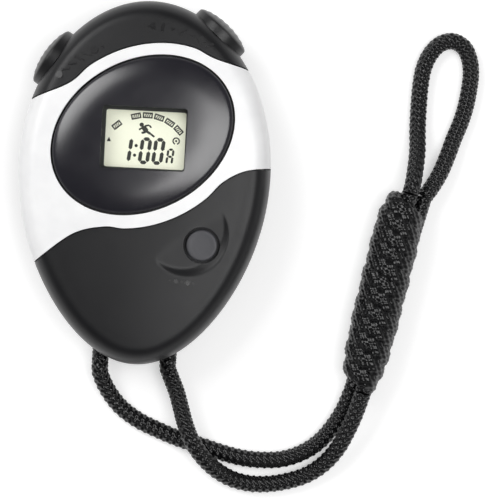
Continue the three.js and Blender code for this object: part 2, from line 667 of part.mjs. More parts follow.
const leftRoute = [
  [bightX - bightRadius, mouthY - gap, bightHeight], [bightX - bightRadius, mouthY - 2.2, bightHeight],
  [-8, -43.2, 4.1], [-6.2, -47.1, 2.9],
  [-3, -51, cordRest], [1.3, -53.9, cordRest], [6, -55.9, cordRest], [10.7, -57.6, cordRest],
  [16.2, -59, cordRest], [20.9, -60.3, cordRest], [25.5, -61.2, cordRest], [30.1, -61.4, cordRest],
  [34.6, -60.9, cordRest], [39.1, -59.1, cordRest], [42.7, -56.4, cordRest], [45.6, -52.7, 2.1],
  [47.7, -48.9, 2.4], [49.4, -44.2, 3.2],
];
const rightRoute = [
  [bightX + bightRadius, mouthY - gap, bightHeight], [bightX + bightRadius, mouthY - 2.2, bightHeight],
  [8, -43.2, 4.7], [9.6, -46.8, 5],
  [10.8, -50.4, 5.5], [12, -54, 6.1], [13.7, -57.7, 6.3], [16.2, -61.1, 5.6], [19.4, -64, 4.2],
  [23.1, -66, 2.8], [27.2, -66.9, 2.1], [31.4, -66.8, cordRest], [35.8, -65.9, cordRest],
  [40.2, -64.2, 2.1], [43.9, -61.4, 3], [46.8, -57.6, 4.4], [48.8, -53.4, 5.5], [50.2, -49.7, 6.3],
  [51.7, -44.7, 7],
];
const knotFoot = [50.6, -43.7];   // the wound knot, from the strands to the hand loop
const knotHead = [59.2, 0.1];
const knotRadius = 5.8;
const loopRoute = [
  [60, 0.7, 7.7], [60.5, 2.9, 7.4], [60.9, 5.9, 6.4], [61.3, 10.6, 4.2], [61.2, 15.8, 2.3],
  [61.2, 20.9, cordRest],
  [61.4, 26, cordRest], [61.9, 29.6, cordRest], [63.3, 33, cordRest], [65.4, 35.3, cordRest],
  [68.1, 36.1, cordRest], [70.7, 34.9, cordRest], [72.2, 32.1, cordRest], [72.7, 28.9, cordRest],
  [72.5, 25.5, cordRest], [71.9, 21.4, cordRest], [71, 17.9, cordRest], [69.5, 13.7, 2.1],
  [68.3, 9.9, 2.6], [66.7, 5.7, 3.2], [64.7, 2.1, 3.9], [63.3, 0.1, 4.2],
];
function cordTube(route, steps) {
  const points = route.map(([x, y, z]) => new THREE.Vector3(x, y, z));
  return tube(new THREE.CatmullRomCurve3(points, false, "centripetal"), cordRadius, steps, 8);
}
addPiece("cord_strand_left", cordTube(leftRoute, 22), cordBlack);
addPiece("cord_strand_right", cordTube(rightRoute, 22), cordBlack);
addPiece("hand_loop", cordTube(loopRoute, 24), cordBlack);

const knotLength = Math.hypot(knotHead[0] - knotFoot[0], knotHead[1] - knotFoot[1]);
const knotProfile = [
  [0, 0], [3.4, 0], [4.5, 1.8], [5.2, 6], [knotRadius - 0.1, 13], [knotRadius, 22],
  [knotRadius, knotLength - 6], [5.3, knotLength - 1.8], [4.3, knotLength], [0, knotLength]];
const knotGeometry = turned(knotProfile, 16);
const knotAxis = new THREE.Vector3(knotHead[0] - knotFoot[0], knotHead[1] - knotFoot[1], 0).normalize();
const alongKnot = new THREE.Quaternion().setFromUnitVectors(new THREE.Vector3(0, 0, 1), knotAxis);
knotGeometry.applyQuaternion(alongKnot);
knotGeometry.translate(knotFoot[0], knotFoot[1], knotRadius + 0.05);
addPiece("cord_knot", solid(knotGeometry), cordBlack);

export default watch;
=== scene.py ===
# A pocket digital stopwatch on a braided neck cord, finished piece by piece round its frame.
# Each piece is modelled in millimetres, where it sits, and then brought to metres.
import bmesh
import bpy
import random
from math import atan2, cos, hypot, pi, radians, sin, sqrt, tan
from mathutils import Matrix, Vector


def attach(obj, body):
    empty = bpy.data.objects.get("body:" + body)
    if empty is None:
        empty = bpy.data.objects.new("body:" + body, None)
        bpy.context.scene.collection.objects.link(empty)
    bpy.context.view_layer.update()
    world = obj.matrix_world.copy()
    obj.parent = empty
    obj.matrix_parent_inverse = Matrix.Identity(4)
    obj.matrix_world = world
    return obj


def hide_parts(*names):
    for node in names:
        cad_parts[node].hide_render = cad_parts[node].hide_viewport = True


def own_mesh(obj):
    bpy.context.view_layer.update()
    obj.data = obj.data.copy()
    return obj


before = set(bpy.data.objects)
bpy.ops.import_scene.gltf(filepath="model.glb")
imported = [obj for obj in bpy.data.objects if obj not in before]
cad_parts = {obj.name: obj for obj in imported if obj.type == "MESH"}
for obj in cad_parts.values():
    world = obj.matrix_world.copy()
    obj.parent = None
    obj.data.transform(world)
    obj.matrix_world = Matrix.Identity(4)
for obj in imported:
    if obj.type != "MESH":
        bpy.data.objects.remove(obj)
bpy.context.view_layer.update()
bpy.context.scene.view_settings.view_transform = "Standard"

# -------------- camera
# It looks straight down on the watch through a long lens, turned a little, so the watch
# stands left of the middle and the hand loop reaches the upper right.
picture_x, picture_y, picture_width = 0.02454, -0.0138, 0.1121
lens, sensor = 200, 36
face_height = 0.012
camera_turn = radians(3)
bpy.ops.object.camera_add(
    location=(picture_x, picture_y, face_height + picture_width * lens / sensor),
    rotation=(0, 0, camera_turn))
camera = bpy.context.object
camera.data.lens = lens
camera.data.sensor_width = sensor
bpy.context.scene.camera = camera


# -------------- neck cord and hand loop
# A round braid of twelve polyester strands, six each way, glossy and nearly black. It leaves
# the foot of the case as two strands, meets in a wound knot and goes on as a loop for the hand.
class Value:
    """An output of a finish's nodes that Python can do sums with."""

    def __init__(self, finish, socket):
        self.finish, self.socket = finish, socket

    def maths(self, operation, left, right):
        return self.finish.node("Math", {"operation": operation}, {0: left, 1: right})

    def __add__(self, other):
        return self.maths("ADD", self, other)

    def __sub__(self, other):
        return self.maths("SUBTRACT", self, other)

    def __rsub__(self, other):
        return self.maths("SUBTRACT", other, self)

    def __mul__(self, other):
        return self.maths("MULTIPLY", self, other)

    __radd__ = __add__
    __rmul__ = __mul__


class Finish:
    """A material, or the world. What is the same all over it is set on its shader's sockets."""

    def __init__(self, name, constants, store=bpy.data.materials, shader="Principled BSDF"):
        self.material = store.new(name)
        self.material.use_nodes = True
        self.tree = self.material.node_tree
        self.shader = self.tree.nodes[shader]
        for socket, value in constants.items():
            self.shader.inputs[socket].default_value = value

    def node(self, kind, settings, sockets, output=0):
        made = self.tree.nodes.new("ShaderNode" + kind)
        for name, value in settings.items():
            setattr(made, name, value)
        for name, value in sockets.items():
            self.feed(made.inputs[name], value)
        return Value(self, made.outputs[output])

    def feed(self, socket, value):
        if isinstance(value, Value):
            self.tree.links.new(value.socket, socket)
        else:
            socket.default_value = value

    def set(self, socket, value):
        self.feed(self.shader.inputs[socket], value)

    def mix(self, share, one, other):
        return self.node("Mix", {"data_type": "RGBA"}, {0: share, 6: one, 7: other}, 2)

    def noise(self, scale, detail=2):
        place = self.node("TexCoord", {}, {}, "Object")
        return self.node("TexNoise", {}, {"Vector": place, "Scale": scale, "Detail": detail})

    def bump(self, height, depth, strength=1.0):
        self.set("Normal", self.node(
            "Bump", {}, {"Height": height, "Distance": depth, "Strength": strength}))


def tone(red, green, blue):
    """A colour as it is seen, from 0 to 255, as the shader wants it."""
    parts = [c / 255 for c in (red, green, blue)]
    return (*[c / 12.92 if c < 0.04 else ((c + 0.055) / 1.055) ** 2.4 for c in parts], 1)


def smooth_line(stops, parts=24):
    """A smooth curve through the stops, cut in many short straight parts."""
    stops = [Vector(stop) for stop in stops]
    run = [2 * stops[0] - stops[1], *stops, 2 * stops[-1] - stops[-2]]
    line = []
    for before, here, there, after in zip(run, run[1:], run[2:], run[3:]):
        a, b, c = [
            (q - p).length ** 0.5 for p, q in ((before, here), (here, there), (there, after))]
        leave = ((here - before) / a - (there - before) / (a + b)) * b + (there - here)
        arrive = (there - here) - ((after - here) / (b + c) - (after - there) / c) * b
        for i in range(parts):
            t = i / parts
            line.append(
                here * (2 * t**3 - 3 * t**2 + 1) + leave * (t**3 - 2 * t**2 + t)
                + there * (3 * t**2 - 2 * t**3) + arrive * (t**3 - t**2))
    return [*line, stops[-1]]


def on_circle(x, y, radius, angle):
    return (x + radius * cos(angle), y + radius * sin(angle))


def line_length(line):
    return sum((q - p).length for p, q in zip(line, line[1:]))


def even_line(line, step):
    """The same line with its points a fixed step apart."""
    count = max(2, round(line_length(line) / step))
    share = line_length(line) / count
    made, travelled, target = [line[0]], 0, share
    for p, q in zip(line, line[1:]):
        reach = (q - p).length
        while travelled + reach >= target - 1e-9 and len(made) < count:
            made.append(p.lerp(q, (target - travelled) / reach))
            target += share
        travelled += reach
    return [*made, line[-1]]


def rope(name, line, sides, surface, facing=None):
    """A closed tube along a line. surface gives the radius and the lift at a place on it, and
    facing the way that the start of its round looks. Its wrap counts turns and centimetres."""
    tangents = [(line[min(i + 1, len(line) - 1)] - line[max(i - 1, 0)]).normalized()
                for i in range(len(line))]
    side = tangents[0].orthogonal().normalized()
    corners, lifts, travels, travelled = [], [], [], 0
    for i, (place, tangent) in enumerate(zip(line, tangents)):
        if i:
            side = tangents[i - 1].rotation_difference(tangent) @ side
            travelled += (place - line[i - 1]).length
        if facing:
            side = facing(place)
            side = (side - tangent * side.dot(tangent)).normalized()
        up = tangent.cross(side)
        travels.append(travelled)
        for k in range(sides):
            angle = 2 * pi * k / sides
            radius, lift = surface(travelled, k / sides)
            corners.append(place + (side * cos(angle) + up * sin(angle)) * radius)
            lifts.append(lift)
    last = len(line) - 1
    faces = [(i * sides + k, i * sides + (k + 1) % sides, (i + 1) * sides + (k + 1) % sides,
              (i + 1) * sides + k) for i in range(last) for k in range(sides)]
    faces += [tuple(range(sides - 1, -1, -1)), tuple(range(last * sides, (last + 1) * sides))]
    mesh = bpy.data.meshes.new(name)
    mesh.from_pydata(corners, [], faces)
    mesh.attributes.new("lift", "FLOAT", "POINT").data.foreach_set("value", lifts)
    wrap = mesh.uv_layers.new(name="round_and_along")
    for n in range(last * sides):
        i, k = divmod(n, sides)
        square = zip(mesh.polygons[n].loop_indices, ((0, 0), (0, 1), (1, 1), (1, 0)))
        for corner, (more, turn) in square:
            wrap.data[corner].uv = ((k + turn) / sides, travels[i + more] / 10)
    piece = bpy.data.objects.new(name, mesh)
    bpy.context.collection.objects.link(piece)
    mesh.shade_smooth()
    return piece


cord_radius = 1.9
cord_step, cord_sides = 0.24, 60
strands_each_way = 6
strand_run = 1.55        # how far along the cord one strand reaches before the next one covers it
strand_crown = 0.08      # how far the top of a strand stands over the cord's radius
strand_round, strand_wave = 0.55, 0.45   # shares of a strand's height: its round top, its climb
braid_depth = 0.5        # from the top of a strand down to the bottom of a hollow
hollow_width = 1.4       # over 1, the hollows are wider than the tops


def braid(travelled, turn, strands=strands_each_way):
    """Radius and lift of the braid: two families of strands climb round it, over and under."""
    across, along = strands * turn, travelled / strand_run
    right, left = across + along, across - along
    lift = max(
        0,
        strand_round * sqrt(max(0, 1 - (2 * (right % 1) - 1) ** 2))
        + strand_wave * cos(pi * (left - 0.5 + right // 1)),
        strand_round * sqrt(max(0, 1 - (2 * (left % 1) - 1) ** 2))
        - strand_wave * cos(pi * (right - 0.5 + left // 1)))
    return cord_radius + strand_crown - braid_depth * (1 - lift**hollow_width), lift


cord_finish = Finish("glossy_black_braid", {"Specular IOR Level": 0.5})
lifted = cord_finish.node("Attribute", {"attribute_name": "lift"}, {}, "Fac")
fibre_place = cord_finish.node("UVMap", {"uv_map": "round_and_along"}, {})
fibre_map = cord_finish.node("Mapping", {}, {"Vector": fibre_place, "Scale": (60, 30, 1)})
fibres = cord_finish.node("TexNoise", {}, {"Vector": fibre_map, "Scale": 2.0, "Detail": 3})
# Painted shade and painted highlight: the base colour is near black in the hollows between strands
# and lighter grey on their raised tops, broken up by the fibre noise.
cord_finish.set("Base Color", cord_finish.mix(
    lifted * fibres, tone(1, 1, 2), tone(16, 16, 18)))
cord_finish.set("Roughness", 0.36 - 0.14 * lifted)
cord_finish.bump(fibres, 0.00001, 0.5)


def to_metres(piece, finish, body, node=None):
    """Brings a finished piece from millimetres to metres, says what it is made of and which body
    it rides, and hides the frame's part for the node that it stands for, if one is given."""
    piece.data.transform(Matrix.Scale(0.001, 4))
    piece.data.materials.clear()
    piece.data.materials.append(finish.material)
    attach(piece, body)
    if node:
        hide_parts(node)


cord_rest = cord_radius + 0.05


def cord(name, stops, node):
    line = even_line(smooth_line([(*stop, cord_rest)[:3] for stop in stops]), cord_step)
    piece = rope(name, line, cord_sides, braid)
    to_metres(piece, cord_finish, "case", node)
    return piece, [point * 0.001 for point in even_line(line, 1.0)]


# A stop with no height lies on the table.
left_stops = [
    (-8.1, -39.5, 4.6), (-8.1, -41.4, 4.6), (-8, -43.2, 4.1), (-6.2, -47.1, 2.9), (-3, -51),
    (1.3, -53.9), (6, -55.9), (10.7, -57.6), (16.2, -59), (20.9, -60.3), (25.5, -61.2),
    (30.1, -61.4), (34.6, -60.9), (39.1, -59.1), (42.7, -56.4), (45.6, -52.7, 2.1),
    (47.7, -48.9, 2.4), (49.4, -44.2, 3.2)]
right_stops = [
    (7.3, -39.5, 4.6), (7.3, -41.4, 4.6), (8, -43.2, 4.7), (9.6, -46.8, 5), (10.8, -50.4, 5.5),
    (12, -54, 6.1), (13.7, -57.7, 6.3), (16.2, -61.1, 5.6), (19.4, -64, 4.2), (23.1, -66, 2.8),
    (27.2, -66.9, 2.1), (31.4, -66.8), (35.8, -65.9), (40.2, -64.2, 2.1), (43.9, -61.4, 3),
    (46.8, -57.6, 4.4), (48.8, -53.4, 5.5), (50.2, -49.7, 6.3), (51.7, -44.7, 7)]
loop_stops = [
    (60, 0.7, 7.7), (60.5, 2.9, 7.4), (60.9, 5.9, 6.4), (61.3, 10.6, 4.2), (61.2, 15.8, 2.3),
    (61.2, 20.9), (61.4, 26), (61.9, 29.6), (63.3, 33), (65.4, 35.3), (68.1, 36.1), (70.7, 34.9),
    (72.2, 32.1), (72.7, 28.9), (72.5, 25.5), (71.9, 21.4), (71, 17.9), (69.5, 13.7, 2.1),
    (68.3, 9.9, 2.6), (66.7, 5.7, 3.2), (64.7, 2.1, 3.9), (63.3, 0.1, 4.2)]
left_strand, left_path = cord("left_strand", left_stops, "cord_strand_left")
right_strand, right_path = cord("right_strand", right_stops, "cord_strand_right")
loop, loop_path = cord("braided_hand_loop", loop_stops, "hand_loop")

# The bend of the cord inside the foot of the case: two straight legs and a half turn round the
# moulded block that holds it.
bight_x, bight_radius, bight_height = -0.4, 7.7, 4.6
bight_centre, bight_foot = -37.1, -39.55
bight_line = [Vector((x, y, bight_height)) for x, y in (
    (bight_x - bight_radius, bight_foot),
    *[on_circle(bight_x, bight_centre, bight_radius, pi * (1 - i / 32)) for i in range(33)],
    (bight_x + bight_radius, bight_foot))]
bight = rope("cord_bend", even_line(bight_line, 0.4), 32, braid)
to_metres(bight, cord_finish, "case", "cord_bight")


# -------------- wound knot
# The same cord wound a dozen turns round the two strands and drawn tight, so that its turns are
# squeezed nearly square and its braid looks finer. Each turn leans, and both ends are tucked in.
knot_foot = Vector((50.6, -43.7, 5.85))
knot_head = Vector((59.2, 0.1, 5.85))
knot_turns = 12
knot_lean = -0.32        # how far a turn runs along the knot for each millimetre across it
knot_margin = 0.8 * cord_radius          # from the knot's end to the middle of its last turn
knot_tuck, knot_tucked = 0.4, 0.45       # how much of a turn is tucked in, and how deep
knot_strands = 8
knot_corners = 2.6       # 2 would be a round section, and more is squarer
knot_stretch = 1.28      # how much wider a squeezed turn is along the knot
turn_parts = 40
knot_shape = [(0, 4.6), (0.08, 5.1), (0.25, 5.6), (0.5, 5.8), (0.88, 5.8), (1, 5.0)]


def knot_radius(share):
    for (start, low), (end, high) in zip(knot_shape, knot_shape[1:]):
        if share <= end:
            return low + (high - low) * (share - start) / (end - start)
    return knot_shape[-1][1]


knot_axis = knot_head - knot_foot
knot_length = knot_axis.length
along_knot = knot_axis.normalized()
across_knot = Vector((along_knot.y, -along_knot.x, 0))
shuffle = random.Random(7)
turn_swell = [shuffle.uniform(-0.45, 0.1) for _ in range(knot_turns + 2)]
turn_slip = [shuffle.uniform(-0.35, 0.35) for _ in range(knot_turns + 2)]
winding = []
for i in range(knot_turns * turn_parts + 1):
    turn = i / turn_parts
    share = turn / knot_turns
    whole, part = int(turn), turn % 1
    ease = part * part * (3 - 2 * part)
    swell = turn_swell[whole] * (1 - ease) + turn_swell[whole + 1] * ease
    slip = turn_slip[whole] * (1 - ease) + turn_slip[whole + 1] * ease
    tuck = min(1, min(turn, knot_turns - turn) / knot_tuck)
    reach = (knot_radius(share) - cord_radius + swell) * (knot_tucked + (1 - knot_tucked) * tuck)
    angle = 2 * pi * turn - pi / 2
    sideways, rise = reach * cos(angle), reach * sin(angle)
    travel = knot_margin + share * (knot_length - 2 * knot_margin) + slip + knot_lean * sideways
    winding.append(knot_foot + along_knot * travel + across_knot * sideways + Vector((0, 0, rise)))


def drawn_tight(travelled, turn):
    """The braid where turns press on each other: flat at the sides, square in the shoulders."""
    radius, lift = braid(travelled, turn, knot_strands)
    around, along = abs(cos(2 * pi * turn)), abs(sin(2 * pi * turn))
    spread = around**knot_corners + (along / knot_stretch) ** knot_corners
    return radius * spread ** (-1 / knot_corners), lift


def off_knot(place):
    """The way straight out from the knot's axis."""
    return place - knot_foot - along_knot * (place - knot_foot).dot(along_knot)


def select_only(*pieces):
    bpy.ops.object.select_all(action="DESELECT")
    for piece in pieces:
        piece.select_set(True)
    bpy.context.view_layer.objects.active = pieces[0]


def joined(pieces):
    """Joins pieces into the first one, which keeps its name."""
    select_only(*pieces)
    bpy.ops.object.join()
    return pieces[0]


knot_step, knot_sides, core_sides = 0.3, 56, 36
knot = rope("wound_knot", even_line(winding, knot_step), knot_sides, drawn_tight, off_knot)
cores = [
    rope("core", even_line([Vector(start), Vector(end)], knot_step), core_sides, braid)
    for start, end in ((left_stops[-1], loop_stops[0]), (right_stops[-1], loop_stops[-1]))]
to_metres(joined([knot, *cores]), cord_finish, "case", "cord_knot")

for piece, path in ((left_strand, left_path), (right_strand, right_path), (loop, loop_path)):
    line_length(path)


# -------------- rear case
# The back half of the egg-shaped case, moulded in black plastic with a fine spark grain. It holds
# the cord's bend, the button cell's door, the sounder's holes and four screws.
half_width, half_length, depth = 28.2, 40.8, 19.95
taper, pinch = 0.086, -0.064     # wider towards the head, and drawn in at both ends
rim = 6                          # how far in the outline still follows the edge
parting, gap = 10, 0.3


def egg(angle, inset):
    """A place round the egg. Near the edge an inset is a distance; further in, the egg shrinks."""
    up, across = sin(angle), cos(angle)
    swell, slope = 1 + taper * up + pinch * up * up, taper * across + 2 * pinch * up * across
    along = Vector((half_width * (across * slope - up * swell), half_length * across))
    out = Vector((along.y, -along.x)).normalized()
    place = Vector((half_width * across * swell, half_length * up)) - out * min(inset, rim)
    return place * min(1, (half_width - inset) / (half_width - rim)), out


def rounded(profile, parts=5):
    """A profile of pairs as a smooth curve."""
    return [(point.x, point.y) for point in smooth_line([(a, b, 0) for a, b in profile], parts)]


def lofted(name, rings):
    """A closed skin through rings of points: a filled circle, extruded from ring to ring."""
    bpy.ops.object.select_all(action="DESELECT")
    bpy.ops.mesh.primitive_circle_add(vertices=len(rings[0]), radius=1, fill_type="NGON")
    piece = bpy.context.object
    piece.name = name
    order = piece.data.attributes.new("order", "INT", "POINT")
    order.data.foreach_set("value", range(len(rings[0])))
    bpy.ops.object.mode_set(mode="EDIT")
    bpy.ops.mesh.select_all(action="SELECT")
    for count, ring in enumerate(rings):
        if count:
            bpy.ops.mesh.extrude_region_move()
        mesh = bmesh.from_edit_mesh(piece.data)
        order = mesh.verts.layers.int["order"]
        for corner in mesh.verts:
            if corner.select:
                corner.co = ring[corner[order]]
        bmesh.update_edit_mesh(piece.data)
    bpy.ops.mesh.select_all(action="SELECT")
    bpy.ops.mesh.normals_make_consistent(inside=False)
    bpy.ops.object.mode_set(mode="OBJECT")
    piece.data.attributes.remove(piece.data.attributes["order"])
    return piece


def egg_body(name, profile, sides=160):
    return lofted(name, [
        [(*egg(2 * pi * k / sides, inset)[0], height) for k in range(sides)]
        for inset, height in profile])


def turned(name, profile, centre=(0, 0), sides=64):
    """A round piece about a vertical axis, from pairs of radius and height."""
    return lofted(name, [
        [(*on_circle(*centre, radius, 2 * pi * k / sides), height) for k in range(sides)]
        for radius, height in profile])


def prism(name, outline, bottom, top):
    return lofted(name, [[(x, y, height) for x, y in outline] for height in (bottom, top)])


def carve(piece, tool, operation="DIFFERENCE"):
    """Cuts, joins or trims a piece with another one, which is used up."""
    select_only(piece)
    step = piece.modifiers.new("carve", "BOOLEAN")
    step.operation, step.object, step.solver = operation, tool, "MANIFOLD"
    bpy.ops.object.modifier_apply(modifier=step.name)
    bpy.data.objects.remove(tool)
    return piece


sliver, thin_area, thin_share = 0.008, 0.003, 0.01


def smooth_skin(piece, degrees=32):
    """Merges what cutting splits. An edge is sharp where the skin turns by more than the angle
    and round each very thin face, which keeps a wall's shading off the face beside it."""
    crease = radians(degrees)
    select_only(piece)
    bpy.ops.object.mode_set(mode="EDIT")
    bpy.ops.mesh.select_all(action="SELECT")
    bpy.ops.mesh.remove_doubles(threshold=sliver)
    bpy.ops.mesh.dissolve_degenerate(threshold=sliver)
    bpy.ops.mesh.normals_make_consistent(inside=False)
    bpy.ops.object.mode_set(mode="OBJECT")
    bpy.ops.object.shade_smooth_by_angle(angle=crease)
    skin = bmesh.new()
    skin.from_mesh(piece.data)
    thin = set()
    for face in skin.faces:
        area, border = face.calc_area(), face.calc_perimeter()
        if area < max(thin_area, thin_share * border**2):
            thin.add(face)
    for edge in skin.edges:
        sides = edge.link_faces
        if len(sides) != 2 or thin.intersection(sides) or edge.calc_face_angle() > crease:
            edge.smooth = False
    skin.to_mesh(piece.data)
    skin.free()
    step = piece.modifiers.new("weigh", "WEIGHTED_NORMAL")
    step.keep_sharp = True
    bpy.ops.object.modifier_apply(modifier=step.name)


def cad_copy(node):
    """A piece's own solid from the frame, closed up and in millimetres."""
    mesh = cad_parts[node].data.copy()
    mesh.transform(Matrix.Scale(1000, 4))
    piece = bpy.data.objects.new(node + "_copy", mesh)
    bpy.context.collection.objects.link(piece)
    select_only(piece)
    bpy.ops.object.mode_set(mode="EDIT")
    bpy.ops.mesh.select_all(action="SELECT")
    bpy.ops.mesh.remove_doubles(threshold=0.0002)
    bpy.ops.object.mode_set(mode="OBJECT")
    return piece


def moulded(name, colour, roughness, grain, shine=0.5):
    """Moulded plastic: a slightly uneven colour and gloss under a fine, even surface grain."""
    finish = Finish(name, {"Specular IOR Level": shine})
    cloud = finish.noise(220)
    lighter = tuple(min(1, c * 1.18 + 0.0015) for c in colour[:3]) + (1,)
    finish.set("Base Color", finish.mix(cloud, colour, lighter))
    finish.set("Roughness", roughness + 0.08 * cloud)
    finish.bump(finish.noise(5200, 1), grain)
    return finish


satin_black = moulded("satin_black_plastic", tone(13, 13, 16), 0.38, 0.000008, 0.45)

wall, floor = 1.9, 1.8
rear_edge = parting - gap / 2
rear_profile = [(0, 7.4), (0, 5), (0.25, 3.4), (0.8, 1.9), (1.8, 0.8), (3.1, 0.2), (4.4, 0)]
rear_case = egg_body("rear_shell", [
    (0, rear_edge), *rounded(rear_profile), (8, 0), (18, 0), (27.6, 0)])
carve(rear_case, egg_body("hollow", [
    (wall, parting + 1), (wall, floor + 2.4), (4.4, floor - 0.1), (27, floor - 0.1)], 96))

# Its bosses, ribs and cord block are the frame's own, trimmed to lie under the new skin.
limit = egg_body("limit", [
    (0.35, rear_edge - 0.02), (0.35, 5), (1.0, 2.3), (2.2, 0.9), (4.5, 0.25), (27.6, 0.25)], 96)
carve(rear_case, carve(cad_copy("rear_case"), limit, "INTERSECT"), "UNION")


# -------------- openings of the rear case
# A round hole for the door with two notches for its lugs, four screw wells, five small holes over
# the sounder, two wells for the thumb buttons and two flared mouths for the cord.
cell_x, cell_y = -5.96, -15.95
door_radius = 7.7
lug_reach, lug_half, lug_middles, door_turn = door_radius + 1.6, 12, (120, 300), 40
notch_play = 3           # how much wider than its lug a notch is at each side, in degrees
screw_inset = 6.2
case_screws = [egg(radians(degrees), screw_inset)[0] for degrees in (20, 160, 218, 322)]


def sector(name, radius, start, end, bottom, top):
    """A slice of a round plate about the middle of the door."""
    angles = [radians(start + (end - start) * i / 12) for i in range(13)]
    rim_places = [on_circle(cell_x, cell_y, radius, angle) for angle in angles]
    return prism(name, [(cell_x, cell_y), *rim_places], bottom, top)


carve(rear_case, turned("hole", [
    (door_radius + gap + 0.35, -1), (door_radius + gap + 0.35, 0), (door_radius + gap, 0.35),
    (door_radius + gap, floor + 0.1)], (cell_x, cell_y), 96))
for middle in lug_middles:
    notch, notch_half = middle - door_turn, lug_half + notch_play
    carve(rear_case, sector(
        "notch", lug_reach + gap, notch - notch_half, notch + notch_half, -1, floor + 0.1))
for x, y in case_screws:
    carve(rear_case, turned("well", [(2.5, -1), (2.5, 0), (2.2, 0.3), (2.2, 2.1)], (x, y), 40))
sounder_x, sounder_y, port_ring, ports = 3, 14, 2.4, 5
for i in range(ports):
    place = on_circle(sounder_x, sounder_y, port_ring, 2 * pi * i / ports)
    carve(rear_case, turned("port", [(0.9, -1), (0.9, 0), (0.6, 0.3), (0.6, 4)], place, 20))


def thumb_place(degrees):
    """The frame of a thumb button: across, up and out, at its place on the case's edge."""
    place, out = egg(radians(degrees), 0.8)
    out = Vector((*out, 0))
    up = Vector((0, 0, 1))
    frame_of = Matrix((up.cross(out), up, out)).transposed().to_4x4()
    frame_of.translation = Vector((*place, parting))
    return frame_of


thumb_places = {"lap_reset": thumb_place(138.6), "start_stop": thumb_place(58)}
well_radius, well_floor, well_top = 7.25, -2.4, 12


def cut_thumb_wells(piece, radius=well_radius, bottom=well_floor, top=well_top, sides=96):
    for place in thumb_places.values():
        well = turned("well", [(radius, bottom), (radius, top)], sides=sides)
        well.data.transform(place)
        carve(piece, well)


cut_thumb_wells(rear_case)
mouth_y = -38.0
for x in (bight_x - bight_radius, bight_x + bight_radius):
    mouth = turned("mouth", [(2.45, 0), (2.45, 1.6), (3.1, 2.6), (5, 8)], sides=40)
    mouth.data.transform(
        Matrix.Translation((x, mouth_y, bight_height)) @ Matrix.Rotation(pi / 2, 4, "X"))
    carve(rear_case, mouth)
smooth_skin(rear_case)
to_metres(rear_case, satin_black, "case", "rear_case")


# -------------- battery door
# A round cover in the same black plastic, locked by two lugs a part turn in. A coin turns it, and
# three dots mark where it locks.
door = turned("coin_door", [
    (0.5, 1.8), (5.5, 1.8), (5.5, 3.1), (door_radius, 3.1), (door_radius, 0.55),
    (door_radius - 0.25, 0.3), (0.5, 0.3)],
    (cell_x, cell_y), 96)
for middle in lug_middles:
    carve(door, carve(
        sector("lug", lug_reach, middle - lug_half, middle + lug_half, 2.1, 3.1),
        turned("keep", [(5.6, 1), (5.6, 4)], (cell_x, cell_y), 48)), "UNION")
slot_half, slot_end = 4.6, 0.9
slot_outline = [
    on_circle(cell_x, cell_y + slot_half * side, slot_end, first + pi * i / 12)
    for side, first in ((1, 0), (-1, pi)) for i in range(13)]
carve(door, prism("slot", slot_outline, -1, 1.0))
dot_radius, dot_ring = 0.35, 6.3
for degrees in (60, 66, 72):
    place = on_circle(cell_x, cell_y, dot_ring, radians(degrees))
    carve(door, turned("dot", [(dot_radius, -1), (dot_radius, 0.5)], place, 12))
smooth_skin(door)
to_metres(door, satin_black, "battery_door", "battery_door")


# -------------- case screws
# Four self-tapping steel screws with a cross recess, driven up from the back.
def brushed(name, colour, roughness):
    """Bare metal with fine, uneven marks."""
    finish = Finish(name, {"Metallic": 0.95})
    marks = finish.noise(3000, 3)
    darker = tuple(c * 0.7 for c in colour[:3]) + (1,)
    finish.set("Base Color", finish.mix(marks, colour, darker))
    finish.set("Roughness", roughness + 0.15 * marks)
    finish.bump(marks, 0.000008)
    return finish


steel = brushed("plated_steel", tone(186, 188, 192), 0.26)
for i, (x, y) in enumerate(case_screws, 1):
    screw = turned(f"screw_{i}", [
        (0.3, 14), (0.9, 13.6), (1.0, 13), (1.0, 1.9), (1.9, 1.9), (1.9, 1.0), (1.6, 0.72),
        (0.6, 0.7)], (x, y), 40)
    for width, length in ((0.6, 2.2), (2.2, 0.6)):
        corners = [(x + a * width / 2, y + b * length / 2)
                   for a, b in ((1, 1), (-1, 1), (-1, -1), (1, -1))]
        carve(screw, prism("recess", corners, 0, 1.3))
    smooth_skin(screw)
    to_metres(screw, steel, "case", f"case_screw_{i}")


# -------------- works inside the case
# Board, chip, crystal, capacitors, sounder, cell, holder, contacts and leaf springs. They keep the
# frame's shape, and take the finish of the real material.
board_green = Finish("green_solder_mask", {"Roughness": 0.4, "Coat Weight": 0.3})
copper_tracks = board_green.node("TexBrick", {}, {
    "Vector": board_green.node("TexCoord", {}, {}, "Object"), "Scale": 260.0,
    "Mortar Size": 0.05, "Mortar Smooth": 0.1,
    "Color1": tone(24, 84, 46), "Color2": tone(30, 96, 54), "Mortar": tone(58, 128, 74)})
board_green.set("Base Color", copper_tracks)
board_green.bump(board_green.noise(2600), 0.00001)
brass = brushed("nickel_brass", tone(203, 172, 105), 0.3)
pale_plastic = moulded("pale_nylon", tone(212, 212, 204), 0.5, 0.00001)
rubber = moulded("grey_silicone", tone(104, 104, 108), 0.7, 0.00002, 0.3)
epoxy = moulded("black_epoxy", tone(22, 22, 22), 0.3, 0.00001)
works = (
    (steel, "lcd_reflector", "button_cell", "crystal_can", "board_screw_1", "board_screw_2",
     "board_screw_3", "lap_reset_clip", "start_stop_clip"),
    (brass, "buzzer_disc", "buzzer_spring_inner", "buzzer_spring_outer", "cell_side_contact",
     "cell_end_contact", "lap_reset_contact", "start_stop_contact"),
    (board_green, "circuit_board"),
    (pale_plastic, "lcd_frame", "cell_holder", "capacitor_1", "capacitor_2"),
    (rubber, "zebra_strip_upper", "zebra_strip_lower"),
    (epoxy, "controller_chip", "resistor"))
for finish, *nodes in works:
    for node in nodes:
        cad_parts[node].data.materials.clear()
        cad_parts[node].data.materials.append(finish.material)


